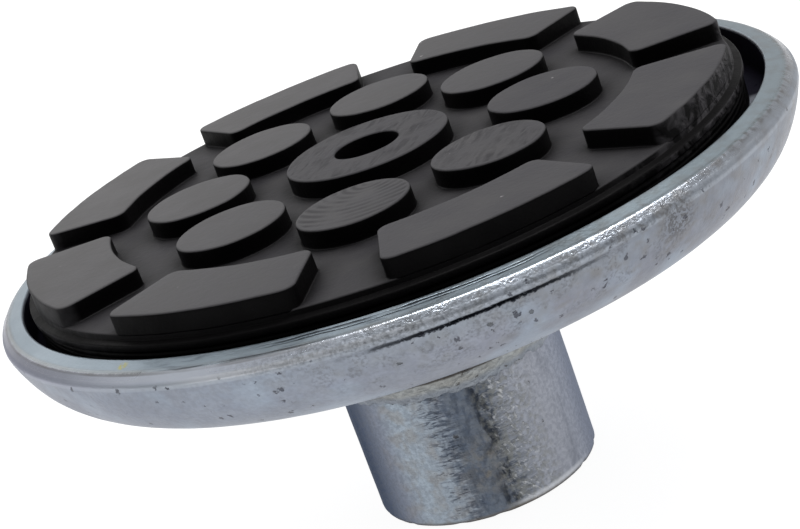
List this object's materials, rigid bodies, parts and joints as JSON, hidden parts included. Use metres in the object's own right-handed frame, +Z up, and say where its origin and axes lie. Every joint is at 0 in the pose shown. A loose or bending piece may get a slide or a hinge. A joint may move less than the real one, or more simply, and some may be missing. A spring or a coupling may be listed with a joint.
{
  "type": "lift arm rubber pad",
  "caption": "Round black rubber lifting pad with a raised grip pattern, seated in a plated steel dish with a welded stem that drops into a lift arm's socket.",
  "frame": {"origin": "centre of the stem's lower face", "axes": "+Z up along the stem's axis towards the pad's top, +X through one stud of the pad's pattern"},
  "size_m": [0.1334, 0.1334, 0.0608],
  "materials": {
    "stem_steel": "zinc plated, turned, worn",
    "weld_steel": "zinc plated over a rough weld",
    "dish_steel": "zinc plated, pitted",
    "pad_rubber": "matte moulded"
  },
  "bodies": {
    "root": {"stem": "stem_steel", "weld_bead": "weld_steel", "lift_dish": "dish_steel", "rubber_pad": "pad_rubber"}
  },
  "joints": []
}
